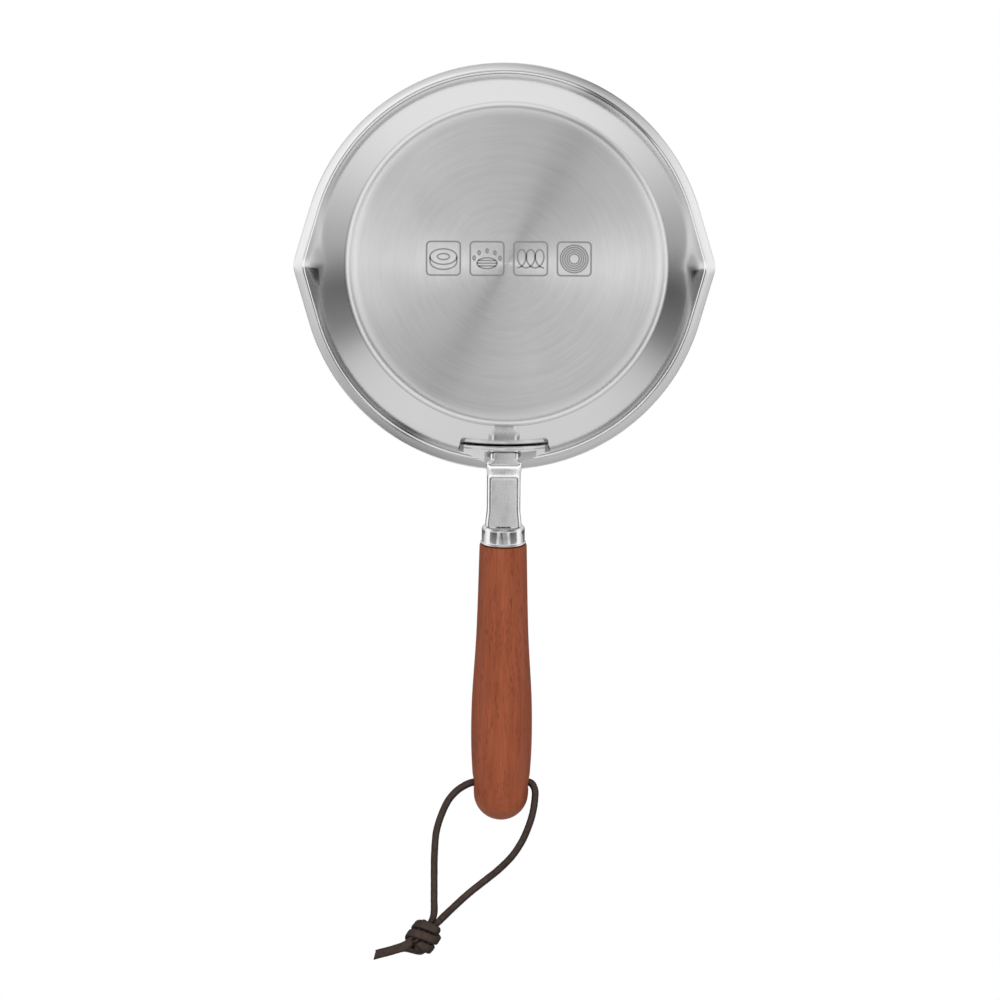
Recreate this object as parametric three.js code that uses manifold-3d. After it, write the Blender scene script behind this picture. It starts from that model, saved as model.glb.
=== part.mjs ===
// Egg pan: a pressed steel bowl with two pouring spouts on a three-layer base, a welded steel arm, a turned
// wooden grip and a knotted leather hanging loop.
// Millimetres, +Z up. The origin is the centre of the base's underside, the handle runs along -Y and the
// spouts point along +X and -X.
import * as THREE from "three";
import { mergeVertices, toCreasedNormals } from "three/addons/utils/BufferGeometryUtils.js";
import Module from "manifold-3d";

const wasm = await Module();
wasm.setup();

const { clamp, lerp, smoothstep, degToRad } = THREE.MathUtils;
const quarterTurn = Math.PI / 2;

// Bowl
const mouthRadius = 60; // inside of the wall at the rim
const panHeight = 45; // from the hob to the top of the lip
const sheetThickness = 0.8;
const lipWidth = 3; // flat flange, from the outside of the wall to its own edge
const lipFoldRadius = 1; // under the lip
const bowlCornerRadius = 3; // outside, between floor and wall

// Pouring spouts
const spoutHalfAngle = degToRad(16.5); // from the nose to where its side leaves the round rim
const spoutNoseRadius = 9;
const spoutDepth = 17; // from the rim down to where the spout begins to swell out of the wall

// Three-layer base
const baseRadius = 49.5;
const capThickness = 0.6;
const capCornerRadius = 3;
const capHeight = 4.6;
const coreThickness = 2.4;

// Saddle plate on the wall
const plateWidth = 28.5;
const plateHeight = 13.5; // in the middle, behind the arm
const plateEndHeight = 5;
const plateTopWidth = 12; // as high as in the middle
const plateShoulderWidth = 21; // where it has come down to the height of its ends
const plateThickness = 1.5;
const plateCornerRadius = 1.8;
const plateFootBow = 3.2; // how much lower its foot is in the middle than at the ends
const plateBelowLip = 2.4; // from the lip's underside to the plate's top edge

// Pressed arm, a channel open at the top with a step just outside the rim
const armThickness = 1.2;
const armCornerRadius = 1.6;
const armAbovePlateFoot = 1.3; // its underside, where it meets the plate
const armRootWidth = 8.8;
const armRootDepth = 9;
const armNeckRise = degToRad(8);
const armNeckLength = 3.2; // from the plate to the step
const armStepLength = 4.8;
const armShoulderWidth = 11.2; // at the start of the step
const armShoulderFlare = 1.6; // length that widens from the root to the shoulder
const armWaistWidth = 10.4;
const armEndFlare = 5.2; // length that widens towards the ferrule
const armEndWidth = 11.3;
const armEndDepth = 5;

// Line of the handle
const handleRise = degToRad(11);
const ferruleFromRim = 17.3; // from the edge of the lip to the front of the ferrule
const handleBelowRim = 3.6; // the handle's axis at the front of the ferrule

// Rod that joins the arm to the wood
const tangRadius = 2.5;
const tangInTrough = 13;
const tangInHandle = 52;

// Ferrule
const ferruleLength = 5.7;
const ferruleRadius = 6.75;
const ferruleShoulderRadius = 1.2;
const ferruleThickness = 0.6;
const ferruleBeadRadius = 7.15; // at its rear edge
const ferruleBeadLength = 0.6;

// Turned grip, slim behind the ferrule and full towards its rounded end; places are from its front shoulder
const gripLength = 89.5;
const gripFrontRadius = 7.4;
const gripSwellRadius = 8.2;
const gripSwellPlace = 29;
const gripBellyRadius = 9.5;
const gripBellyStart = 52;
const gripBellyEnd = 67;
const gripEndRadius = 8.6; // where the rounded end begins
const gripEndLength = 8.6;
const holeRadius = 2;
const holeFromEnd = 12.1;

// Leather lace, a flat strip with soft edges that hangs in a loop and is knotted to itself
const laceWidth = 2.9;
const strandThickness = 2.2;
const knotThickness = 1.6; // where the knot squeezes it, and in the tails
const loopDroop = degToRad(30); // below the line of the handle
const knotCentre = new THREE.Vector2(24.2, 49.9); // across the handle, and out from the hole
const knotLean = degToRad(35); // of the knot's axis, from straight out towards its tails
const wrapStartTurn = degToRad(70);
const wrapStartAlong = 3.7; // from the knot's centre towards its tails
const wrapPitch = 7;
const tailSlant = -0.57; // of the cut across the tails, per unit of width

// Clearance between neighbouring pieces, and the fineness of round shapes
const seatGap = 0.3;
const layGap = 0.08; // between the turns of the knot
const bowlSides = 84;
const spoutCrowding = 0.6; // share of the bowl's sides drawn towards the spouts
const wallRows = 4;
const baseSides = 72;
const handleSides = 36;
const laceSides = 10;

// Places that follow from the sizes above
const bowlUnderside = capThickness + coreThickness;
const lipUnderside = panHeight - sheetThickness;
const lipRadius = mouthRadius + sheetThickness + lipWidth;
const wallFootRadius = baseRadius - capThickness - seatGap;
const wallLean = Math.atan2(mouthRadius + sheetThickness - wallFootRadius, lipUnderside - capHeight);
const spoutStartHeight = panHeight - spoutDepth;
const plateFootHeight = lipUnderside - plateBelowLip - plateHeight;
const armRootHeight = plateFootHeight + armAbovePlateFoot;
const ferruleDistance = lipRadius + ferruleFromRim; // from the bowl's axis
const handleFrontHeight = panHeight - handleBelowRim;
const gripStart = ferruleLength + seatGap;
const gripEnd = gripStart + gripLength;
const holeDistance = gripEnd - holeFromEnd;
const armDrop = (tangRadius + seatGap + armThickness) / Math.cos(handleRise);
const layPitch = knotThickness + layGap; // four thicknesses lie side by side in the knot's core
const coreInner = layPitch / 2;
const coreOuter = coreInner + layPitch;
const wrapAcross = coreOuter + layPitch;
const wrapUp = (laceWidth + knotThickness) / 2 + layGap;

const finishes = {
  brushedSteel: { color: 0xc4c6c7, roughness: 0.32, metalness: 1 },
  spunSteel: { color: 0xb9bbbc, roughness: 0.4, metalness: 1 },
  aluminium: { color: 0xb4b6b8, roughness: 0.5, metalness: 1 },
  satinSteel: { color: 0xc8cacb, roughness: 0.25, metalness: 1 },
  polishedSteel: { color: 0xd2d4d6, roughness: 0.12, metalness: 1 },
  wood: { color: 0x93503a, roughness: 0.55, metalness: 0 },
  leather: { color: 0x3b2b27, roughness: 0.8, metalness: 0 },
};

// Points of an arc in a profile, from one angle to another
function arc(across, along, radius, from, to, steps) {
  return Array.from({ length: steps + 1 }, (_, i) => {
    const angle = lerp(from, to, i / steps);
    return new THREE.Vector2(across + radius * Math.cos(angle), along + radius * Math.sin(angle));
  });
}

// A profile turned about +Z; the profile runs up the outside and down the inside
function turnUpright(profile, sides) {
  return new THREE.LatheGeometry(profile, sides).rotateX(quarterTurn);
}

// A closed body lofted through rings of matching points; flatten gives a ring's points in its own plane
function loft(rings, flatten) {
  const count = rings[0].length;
  const last = rings.length - 1;
  const index = [];
  for (let k = 0; k < last; k++) {
    for (let i = 0; i < count; i++) {
      const here = k * count + i;
      const beside = k * count + ((i + 1) % count);
      index.push(here, beside, here + count);
      index.push(beside, beside + count, here + count);
    }
  }
  for (const [a, b, c] of THREE.ShapeUtils.triangulateShape(rings[0].map(flatten), [])) {
    index.push(c, b, a);
  }
  for (const [a, b, c] of THREE.ShapeUtils.triangulateShape(rings[last].map(flatten), [])) {
    index.push(last * count + a, last * count + b, last * count + c);
  }
  return new THREE.BufferGeometry().setFromPoints(rings.flat()).setIndex(index);
}

function solidOf(geometry) {
  const bare = geometry.clone();
  bare.deleteAttribute("normal");
  bare.deleteAttribute("uv");
  const merged = mergeVertices(bare, 1e-4);
  const vertProperties = merged.attributes.position.array;
  const triVerts = new Uint32Array(merged.index.array);
  return new wasm.Manifold(new wasm.Mesh({ numProp: 3, vertProperties, triVerts }));
}

function geometryOf(solid) {
  const { vertProperties, triVerts } = solid.getMesh();
  const geometry = new THREE.BufferGeometry();
  geometry.setAttribute("position", new THREE.BufferAttribute(vertProperties, 3));
  return geometry.setIndex(new THREE.BufferAttribute(triVerts, 1));
}

function part(name, geometry, finish) {
  const creaseAngle = degToRad(35);
  const material = new THREE.MeshStandardMaterial(finish);
  const mesh = new THREE.Mesh(toCreasedNormals(geometry, creaseAngle), material);
  mesh.name = name;
  return mesh;
}

// Radius of the wall's outside at a height
function wallRadius(height) {
  return wallFootRadius + (height - capHeight) * Math.tan(wallLean);
}

// A point off the wall's outside, measured square to the wall
function wallPoint(height, off) {
  const radius = wallRadius(height) + off * Math.cos(wallLean);
  return new THREE.Vector2(radius, height - off * Math.sin(wallLean));
}

// Radius at which the arm meets the plate, at a height
function armSeatRadius(height) {
  const offWall = seatGap + plateThickness + seatGap;
  return wallRadius(height) + offWall / Math.cos(wallLean);
}

// Height of the handle's axis at a distance from the bowl's axis
function handleHeight(distance) {
  return handleFrontHeight + (distance - ferruleDistance) * Math.tan(handleRise);
}

// How far a spout swells a round rim of radius 1, at an angle off the nose: straight sides leave the round
// as tangents and meet in a rounded nose
function spoutSwell(angle, growth) {
  const halfAngle = spoutHalfAngle * growth;
  if (angle >= halfAngle) return 1;
  const nose = spoutNoseRadius / lipRadius;
  const noseCentre = (1 - nose) / Math.cos(halfAngle);
  const noseEdge = Math.atan2(nose * Math.sin(halfAngle), noseCentre + nose * Math.cos(halfAngle));
  if (angle >= noseEdge) return 1 / Math.cos(halfAngle - angle);
  return noseCentre * Math.cos(angle) + Math.sqrt(nose ** 2 - (noseCentre * Math.sin(angle)) ** 2);
}

function makeBowl() {
  const cornerHeight = bowlUnderside + bowlCornerRadius;
  const cornerAcross = wallRadius(cornerHeight) - bowlCornerRadius / Math.cos(wallLean);
  const foldHeight = lipUnderside - lipFoldRadius;
  const foldAcross = wallRadius(foldHeight) + lipFoldRadius / Math.cos(wallLean);
  const edgeRadius = sheetThickness / 2;
  const edgeAcross = lipRadius - edgeRadius;
  const rows = Array.from({ length: wallRows }, (_, i) => lerp(spoutStartHeight, foldHeight, i / wallRows));
  const innerFold = lipFoldRadius + sheetThickness;
  const innerCorner = bowlCornerRadius - sheetThickness;
  const foldStart = Math.PI - wallLean;
  const profile = [
    new THREE.Vector2(0, bowlUnderside),
    ...arc(cornerAcross, cornerHeight, bowlCornerRadius, -quarterTurn, -wallLean, 4),
    ...rows.map((height) => wallPoint(height, 0)),
    ...arc(foldAcross, foldHeight, lipFoldRadius, foldStart, quarterTurn, 3),
    ...arc(edgeAcross, panHeight - edgeRadius, edgeRadius, -quarterTurn, quarterTurn, 3),
    ...arc(foldAcross, foldHeight, innerFold, quarterTurn, foldStart, 3),
    ...rows.reverse().map((height) => wallPoint(height, -sheetThickness)),
    ...arc(cornerAcross, cornerHeight, innerCorner, -wallLean, -quarterTurn, 4),
    new THREE.Vector2(0, bowlUnderside + sheetThickness),
  ];
  const geometry = turnUpright(profile, bowlSides);
  const place = geometry.attributes.position;
  for (let i = 0; i < place.count; i++) {
    const evenAngle = Math.atan2(place.getY(i), place.getX(i));
    const angle = evenAngle - (spoutCrowding / 2) * Math.sin(2 * evenAngle);
    const growth = clamp((place.getZ(i) - spoutStartHeight) / (lipUnderside - spoutStartHeight), 0, 1);
    const offNose = Math.asin(Math.abs(Math.sin(angle)));
    const radius = Math.hypot(place.getX(i), place.getY(i)) * spoutSwell(offNose, growth);
    place.setXY(i, radius * Math.cos(angle), radius * Math.sin(angle));
  }
  return part("bowl", geometry, finishes.brushedSteel);
}

function makeBaseCore() {
  const radius = baseRadius - capCornerRadius - seatGap;
  const profile = [
    new THREE.Vector2(0, capThickness),
    new THREE.Vector2(radius, capThickness),
    new THREE.Vector2(radius, bowlUnderside),
    new THREE.Vector2(0, bowlUnderside),
  ];
  return part("base_core", turnUpright(profile, baseSides), finishes.aluminium);
}

function makeBaseCap() {
  const cornerAcross = baseRadius - capCornerRadius;
  const innerCorner = capCornerRadius - capThickness;
  const profile = [
    new THREE.Vector2(0, 0),
    ...arc(cornerAcross, capCornerRadius, capCornerRadius, -quarterTurn, 0, 6),
    new THREE.Vector2(baseRadius, capHeight),
    new THREE.Vector2(baseRadius - capThickness, capHeight),
    ...arc(cornerAcross, capCornerRadius, innerCorner, 0, -quarterTurn, 4),
    new THREE.Vector2(0, capThickness),
  ];
  return part("base_cap", turnUpright(profile, baseSides), finishes.spunSteel);
}

// A plate bent round the wall, high in the middle and low at its ends, with a bowed foot and rounded corners
function makeBracketPlate() {
  const half = plateWidth / 2;
  const cornerStart = half - plateCornerRadius;
  const topHalf = plateTopWidth / 2;
  const shoulderHalf = plateShoulderWidth / 2;
  const cornerSteps = 3;
  const corner = Array.from({ length: cornerSteps }, (_, i) => {
    return cornerStart + plateCornerRadius * Math.sin((quarterTurn * (i + 1)) / cornerSteps);
  });
  const oneWay = [topHalf / 2, topHalf, (topHalf + shoulderHalf) / 2, shoulderHalf, cornerStart, ...corner];
  const stations = [...oneWay.map((across) => -across).reverse(), 0, ...oneWay];
  const middleRadius = wallRadius(plateFootHeight + plateHeight / 2);
  const faces = [seatGap, seatGap + plateThickness];
  const rings = [];
  for (const across of stations) {
    const intoCorner = clamp(Math.abs(across) - cornerStart, 0, plateCornerRadius);
    const trim = plateCornerRadius - Math.sqrt(plateCornerRadius ** 2 - intoCorner ** 2);
    const foot = plateFootHeight + plateFootBow * (across / half) ** 2 + trim;
    const downSlope = clamp((Math.abs(across) - topHalf) / (shoulderHalf - topHalf), 0, 1);
    const endTop = plateFootHeight + plateFootBow + plateEndHeight;
    const top = lerp(plateFootHeight + plateHeight, endTop, downSlope) - trim;
    const section = [
      wallPoint(foot, faces[1]),
      wallPoint(foot, faces[0]),
      wallPoint(top, faces[0]),
      wallPoint(top, faces[1]),
    ];
    const angle = across / middleRadius - quarterTurn;
    rings.push(section.map((p) => new THREE.Vector3(p.x * Math.cos(angle), p.x * Math.sin(angle), p.y)));
  }
  const flatten = (p) => new THREE.Vector2(-Math.hypot(p.x, p.y), p.z);
  return part("bracket_plate", loft(rings, flatten), finishes.satinSteel);
}

// Outline of a channel open at the top, with its underside at height 0
function channelOutline(width, depth) {
  const cornerAcross = width / 2 - armCornerRadius;
  const inner = armCornerRadius - armThickness;
  const topInside = width / 2 - armThickness;
  return [
    new THREE.Vector2(-width / 2, depth),
    ...arc(-cornerAcross, armCornerRadius, armCornerRadius, Math.PI, 1.5 * Math.PI, 3),
    ...arc(cornerAcross, armCornerRadius, armCornerRadius, -quarterTurn, 0, 3),
    new THREE.Vector2(width / 2, depth),
    new THREE.Vector2(topInside, depth),
    ...arc(cornerAcross, armCornerRadius, inner, 0, -quarterTurn, 2),
    ...arc(-cornerAcross, armCornerRadius, inner, 1.5 * Math.PI, Math.PI, 2),
    new THREE.Vector2(-topInside, depth),
  ];
}

// The arm is pressed to shape and its root is then trimmed to the face of the plate
function makeArm() {
  const rootDistance = armSeatRadius(armRootHeight);
  const stepStart = rootDistance + armNeckLength;
  const stepEnd = stepStart + armStepLength;
  const seatDistance = ferruleDistance - seatGap * Math.cos(handleRise);
  const endDistance = seatDistance + armDrop * Math.sin(handleRise) * Math.cos(handleRise);
  const blankStart = wallRadius(armRootHeight);
  const stretches = [
    [blankStart, stepStart, 5],
    [stepStart, stepEnd, 6],
    [stepEnd, endDistance, 6],
  ];
  const distances = [blankStart];
  for (const [from, to, steps] of stretches) {
    for (let i = 1; i <= steps; i++) distances.push(lerp(from, to, i / steps));
  }
  const rings = distances.map((distance) => {
    const overStep = smoothstep(distance, stepStart, stepEnd);
    const intoFlare = smoothstep(distance, endDistance - armEndFlare, endDistance);
    const neckHeight = armRootHeight + (distance - rootDistance) * Math.tan(armNeckRise);
    const underside = lerp(neckHeight, handleHeight(distance) - armDrop, overStep);
    const toShoulder = smoothstep(distance, stepStart - armShoulderFlare, stepStart);
    const neckWidth = lerp(armRootWidth, armShoulderWidth, toShoulder);
    const width = lerp(lerp(neckWidth, armWaistWidth, overStep), armEndWidth, intoFlare);
    const share = clamp((distance - rootDistance) / (endDistance - rootDistance), 0, 1);
    const depth = lerp(armRootDepth, armEndDepth, Math.sqrt(share));
    const slant = -Math.tan(handleRise) * overStep;
    return channelOutline(width, depth).map(
      (p) => new THREE.Vector3(p.x, -(distance + slant * p.y), underside + p.y),
    );
  });
  const flatten = (p) => new THREE.Vector2(p.x, p.z);
  const trimProfile = [
    new THREE.Vector2(0, bowlUnderside),
    new THREE.Vector2(armSeatRadius(bowlUnderside), bowlUnderside),
    new THREE.Vector2(armSeatRadius(panHeight), panHeight),
    new THREE.Vector2(0, panHeight),
  ];
  const trim = solidOf(turnUpright(trimProfile, baseSides));
  const trimmed = solidOf(loft(rings, flatten)).subtract(trim);
  return part("arm", geometryOf(trimmed), finishes.satinSteel);
}

// Handle pieces lie along -Y of the handle's own line, from the front of the ferrule

function makeTangRod() {
  const chamfer = tangRadius / 2;
  const profile = [
    new THREE.Vector2(0, -tangInHandle),
    new THREE.Vector2(tangRadius - chamfer, -tangInHandle),
    new THREE.Vector2(tangRadius, -tangInHandle + chamfer),
    new THREE.Vector2(tangRadius, tangInTrough - chamfer),
    new THREE.Vector2(tangRadius - chamfer, tangInTrough),
    new THREE.Vector2(0, tangInTrough),
  ];
  return part("tang_rod", new THREE.LatheGeometry(profile, 16), finishes.satinSteel);
}

function makeFerrule() {
  const holeForTang = tangRadius + seatGap;
  const shoulderAcross = ferruleRadius - ferruleShoulderRadius;
  const innerRadius = ferruleRadius - ferruleThickness;
  const beadFront = ferruleBeadLength - ferruleLength;
  const profile = [
    new THREE.Vector2(innerRadius, -ferruleLength),
    new THREE.Vector2(ferruleBeadRadius, -ferruleLength),
    new THREE.Vector2(ferruleBeadRadius, beadFront),
    new THREE.Vector2(ferruleRadius, beadFront + ferruleBeadRadius - ferruleRadius),
    ...arc(shoulderAcross, -ferruleShoulderRadius, ferruleShoulderRadius, 0, quarterTurn, 4),
    new THREE.Vector2(holeForTang, 0),
    new THREE.Vector2(holeForTang, -ferruleThickness),
    new THREE.Vector2(shoulderAcross, -ferruleThickness),
    new THREE.Vector2(innerRadius, -ferruleShoulderRadius),
    new THREE.Vector2(innerRadius, -ferruleLength),
  ];
  return part("ferrule", new THREE.LatheGeometry(profile, handleSides), finishes.polishedSteel);
}

function makeGrip() {
  const endStart = gripEnd - gripEndLength;
  const contour = new THREE.SplineCurve([
    new THREE.Vector2(gripEndRadius, -endStart),
    new THREE.Vector2(gripBellyRadius, -(gripStart + gripBellyEnd)),
    new THREE.Vector2(gripBellyRadius, -(gripStart + gripBellyStart)),
    new THREE.Vector2(gripSwellRadius, -(gripStart + gripSwellPlace)),
    new THREE.Vector2(gripFrontRadius, -gripStart),
  ]);
  const contourSteps = 18;
  const endSteps = 7;
  const roundedEnd = Array.from({ length: endSteps }, (_, i) => {
    const angle = (quarterTurn * i) / endSteps;
    return new THREE.Vector2(gripEndRadius * Math.sin(angle), -endStart - gripEndLength * Math.cos(angle));
  });
  const tenonRadius = ferruleRadius - ferruleThickness - seatGap;
  const tenonFront = ferruleShoulderRadius + seatGap;
  const boreRadius = tangRadius + seatGap;
  const boreEnd = tangInHandle + seatGap;
  const profile = [
    ...roundedEnd,
    ...contour.getPoints(contourSteps),
    new THREE.Vector2(tenonRadius, -gripStart),
    new THREE.Vector2(tenonRadius, -tenonFront),
    new THREE.Vector2(boreRadius, -tenonFront),
    new THREE.Vector2(boreRadius, -boreEnd),
    new THREE.Vector2(0, -boreEnd),
  ];
  const drillLength = 3 * gripBellyRadius;
  const crossHole = new THREE.CylinderGeometry(holeRadius, holeRadius, drillLength, 24);
  crossHole.rotateZ(quarterTurn).translate(0, -holeDistance, 0);
  const turned = solidOf(new THREE.LatheGeometry(profile, handleSides));
  return part("grip", geometryOf(turned.subtract(solidOf(crossHole))), finishes.wood);
}

// The two strands of the lace in the plane of the loop, from the cross hole to the knot, clear of the grip:
// across the handle, and out from the hole
const leftStrand = [
  [6, 0],
  [gripBellyRadius - 0.1, 0.3],
  [gripBellyRadius + 3.8, 2.4],
  [16.4, 5.7],
  [18.8, 10.7],
  [20.4, 16.1],
  [21, 23.1],
  [21.1, 30.1],
  [21.1, 37.5],
];
const rightStrand = [
  [-6, 0],
  [-gripBellyRadius + 0.1, 0.3],
  [-gripBellyRadius - 1.2, 2.6],
  [-gripBellyRadius - 1.2, 5.4],
  [-gripBellyRadius - 0.5, 10.1],
  [-gripBellyRadius + 0.6, 13.9],
  [-6.6, 19.3],
  [-3.4, 24.2],
  [0.9, 28.6],
  [5.4, 32.3],
  [10.4, 36.4],
  [15.5, 41.2],
];

// One turn of a strand round the knot, from its far end back towards the loop: across, up and along
const wrapRoute = [0, 40, 80, 120, 160, 200, 240, 280, 320].map((turned) => {
  const angle = wrapStartTurn - degToRad(turned);
  const along = wrapStartAlong - (wrapPitch * turned) / 360;
  return [wrapAcross * Math.cos(angle), wrapUp * Math.sin(angle), along];
});

// One strand of the knot: in through the core, out and round both strands, and back through the core
const knotEntry = [1.2, 0, -6.8];
const knotRoute = [
  [coreInner, 0, -3.5],
  [coreInner, 0, 0],
  [coreInner, 0, 2.2],
  [1, 0.8, 3.7],
  [1.1, 1.8, 4.2],
  ...wrapRoute,
  [2.3, 1.6, -3.3],
  [coreOuter, 0.4, -2.9],
  [coreOuter, 0, -1.4],
  [coreOuter, 0, 1.8],
];

// One tail turns its flat side to the plane of the loop, and the other crosses behind the knot on its edge
const flatTail = [
  [2.6, -0.1, 5.1],
  [4.9, -0.2, 8.8],
  [9.1, -0.2, 13.9],
];
const crossingTail = [
  [-2.5, 0.3, 3.4],
  [-1.7, 1.3, 4.8],
  [0.3, 2.1, 5.5],
  [3, 2.2, 6.7],
  [5.5, 2.2, 9.6],
  [8.4, 2, 13.1],
];

// A flat strip swept along a route of places, each with the way the flat side faces and the thickness
function sweepLace(route) {
  const stepsPerSpan = 2;
  const soften = (value) => (Math.sign(value) * Math.sqrt(Math.abs(value))) / 2;
  const outline = Array.from({ length: laceSides }, (_, i) => {
    const angle = (2 * Math.PI * i) / laceSides;
    return new THREE.Vector2(soften(Math.cos(angle)), soften(Math.sin(angle)));
  });
  const line = new THREE.CatmullRomCurve3(route.map(({ place }) => place));
  const facings = new THREE.CatmullRomCurve3(route.map(({ facing }) => facing));
  const steps = (route.length - 1) * stepsPerSpan;
  const rings = [];
  for (let i = 0; i <= steps; i++) {
    const share = i / steps;
    const before = route[Math.floor(i / stepsPerSpan)];
    const after = route[Math.ceil(i / stepsPerSpan)];
    const thickness = lerp(before.thickness, after.thickness, (i % stepsPerSpan) / stepsPerSpan);
    const ahead = line.getTangent(share);
    const facing = facings.getPoint(share).projectOnPlane(ahead).normalize();
    const across = new THREE.Vector3().crossVectors(facing, ahead);
    const slant = i === steps ? tailSlant : 0;
    const ring = outline.map((p) =>
      line
        .getPoint(share)
        .addScaledVector(across, p.x * laceWidth)
        .addScaledVector(facing, p.y * thickness)
        .addScaledVector(ahead, p.x * laceWidth * slant),
    );
    rings.push(ring);
  }
  return loft(rings, (_, i) => outline[i]);
}

// Each half of the lace runs from just past the middle of the hole to its tail. It bends its thin way in the
// loop, lies flat round the knot, and the two halves are one piece
function makeHangingCord() {
  const axis = new THREE.Vector3(Math.sin(knotLean), -Math.cos(knotLean), 0);
  const aside = new THREE.Vector3(Math.cos(knotLean), Math.sin(knotLean), 0);
  const normal = new THREE.Vector3(0, 0, 1);
  const centre = new THREE.Vector3(knotCentre.x, -knotCentre.y, 0);
  const pastMiddle = laceWidth / 4;
  const inKnot = (across, up, along) =>
    centre.clone().addScaledVector(aside, across).addScaledVector(normal, up).addScaledVector(axis, along);
  const edgeOn = (places, side, thickness) =>
    places.map((place, i) => {
      const from = places[Math.max(i - 1, 0)];
      const to = places[Math.min(i + 1, places.length - 1)];
      const facing = new THREE.Vector3().crossVectors(normal, to.clone().sub(from)).setLength(side);
      return { place, facing, thickness };
    });
  const halves = [
    { side: 1, strand: leftStrand, tail: flatTail },
    { side: -1, strand: rightStrand, tail: crossingTail },
  ];
  const solids = halves.map(({ side, strand, tail }) => {
    const entry = inKnot(side * knotEntry[0], knotEntry[1], knotEntry[2]);
    const start = new THREE.Vector3(-side * pastMiddle, 0, 0);
    const strandPlaces = [start, ...strand.map(([across, out]) => new THREE.Vector3(across, -out, 0)), entry];
    const knotted = knotRoute.map(([across, up, along]) => {
      const outward = new THREE.Vector2(across / wrapAcross ** 2, up / wrapUp ** 2).setLength(side);
      const facing = aside.clone().multiplyScalar(outward.x).addScaledVector(normal, outward.y);
      return { place: inKnot(side * across, side * up, along), facing, thickness: knotThickness };
    });
    const tailPlaces = tail.map(([across, up, along]) => inKnot(across, up, along));
    const flat = tailPlaces.map((place) => ({ place, facing: normal, thickness: knotThickness }));
    const tailRows = tail === flatTail ? flat : edgeOn(tailPlaces, side, knotThickness);
    const strandRows = edgeOn(strandPlaces, side, strandThickness);
    return solidOf(sweepLace([...strandRows, ...knotted, ...tailRows]));
  });
  return part("hanging_cord", geometryOf(solids[0].add(solids[1])), finishes.leather);
}

const hangingLoop = new THREE.Group();
hangingLoop.position.set(0, -holeDistance, 0);
hangingLoop.rotation.x = loopDroop;
hangingLoop.add(makeHangingCord());

const handle = new THREE.Group();
handle.position.set(0, -ferruleDistance, handleFrontHeight);
handle.rotation.x = -handleRise;
handle.add(makeTangRod(), makeFerrule(), makeGrip(), hangingLoop);

const eggPan = new THREE.Group();
eggPan.name = "egg_pan";
eggPan.add(makeBowl(), makeBaseCore(), makeBaseCap(), makeBracketPlate(), makeArm(), handle);

export default eggPan;
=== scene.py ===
import math

import bmesh
import bpy
import numpy as np
from mathutils import Matrix, Vector, noise


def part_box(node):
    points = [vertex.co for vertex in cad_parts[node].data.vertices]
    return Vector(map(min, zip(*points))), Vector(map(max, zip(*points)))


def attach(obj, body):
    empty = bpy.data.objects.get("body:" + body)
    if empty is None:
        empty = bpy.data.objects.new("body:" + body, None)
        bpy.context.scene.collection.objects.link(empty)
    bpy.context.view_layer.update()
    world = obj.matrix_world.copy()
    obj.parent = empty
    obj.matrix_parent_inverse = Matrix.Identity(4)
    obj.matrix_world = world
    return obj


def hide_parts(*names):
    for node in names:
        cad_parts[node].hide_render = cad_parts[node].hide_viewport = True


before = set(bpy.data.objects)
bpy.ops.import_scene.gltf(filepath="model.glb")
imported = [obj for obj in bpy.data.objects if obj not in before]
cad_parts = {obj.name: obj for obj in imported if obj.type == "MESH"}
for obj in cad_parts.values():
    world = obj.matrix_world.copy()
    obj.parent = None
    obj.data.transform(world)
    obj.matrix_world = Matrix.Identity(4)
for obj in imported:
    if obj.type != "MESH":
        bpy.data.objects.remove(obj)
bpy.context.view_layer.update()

# Bowl: a disc of stainless sheet drawn into a flared wall with a flat turned-out lip. Two pouring spouts are
# pressed out of the rim, and the steel is brushed round its axis inside and out.
bowl_low, bowl_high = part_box("bowl")
cap_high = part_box("base_cap")[1]
pan_height = bowl_high.z
lip_radius = bowl_high.y
bowl_underside = bowl_low.z
base_radius = cap_high.x
cap_height = cap_high.z
# Painted shade: the outside of the wall just above the cap is painted darker, for the shade in the seam.
seam_reach = 0.003
seam_fade = 0.0015
seam_shade_tone = 0.3
sheet_thickness = 0.0008
lip_width = 0.003
lip_fold_radius = 0.001
bowl_corner_radius = 0.003
spout_half_angle = math.radians(16.5)
spout_nose_radius = 0.009
spout_depth = 0.017
cap_thickness = 0.0006
seat_gap = 0.0003
bowl_sides = 336
spout_crowding = 0.6
wall_rows = 16
corner_steps = 10
lip_steps = 8
same_point = 1e-7
lip_underside = pan_height - sheet_thickness
wall_foot_radius = base_radius - cap_thickness - seat_gap
wall_lean = math.atan2(lip_radius - lip_width - wall_foot_radius, lip_underside - cap_height)
spout_start_height = pan_height - spout_depth
quarter_turn = math.pi / 2


def between(start, end, share):
    return start + (end - start) * share


def clamp(value, low, high):
    return max(low, min(high, value))


def oval(across, along, half_width, half_height, start, end, steps):
    """Points of an oval or a part of one in a profile, from one angle to another."""
    points = []
    for step in range(steps + 1):
        angle = between(start, end, step / steps)
        points.append((across + half_width * math.cos(angle), along + half_height * math.sin(angle)))
    return points


def arc(across, along, radius, start, end, steps):
    return oval(across, along, radius, radius, start, end, steps)


def wall_radius(height):
    return wall_foot_radius + (height - cap_height) * math.tan(wall_lean)


def wall_point(height, off):
    """A point off the wall's outside, measured square to the wall, as (radius, height)."""
    return wall_radius(height) + off * math.cos(wall_lean), height - off * math.sin(wall_lean)


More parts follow.
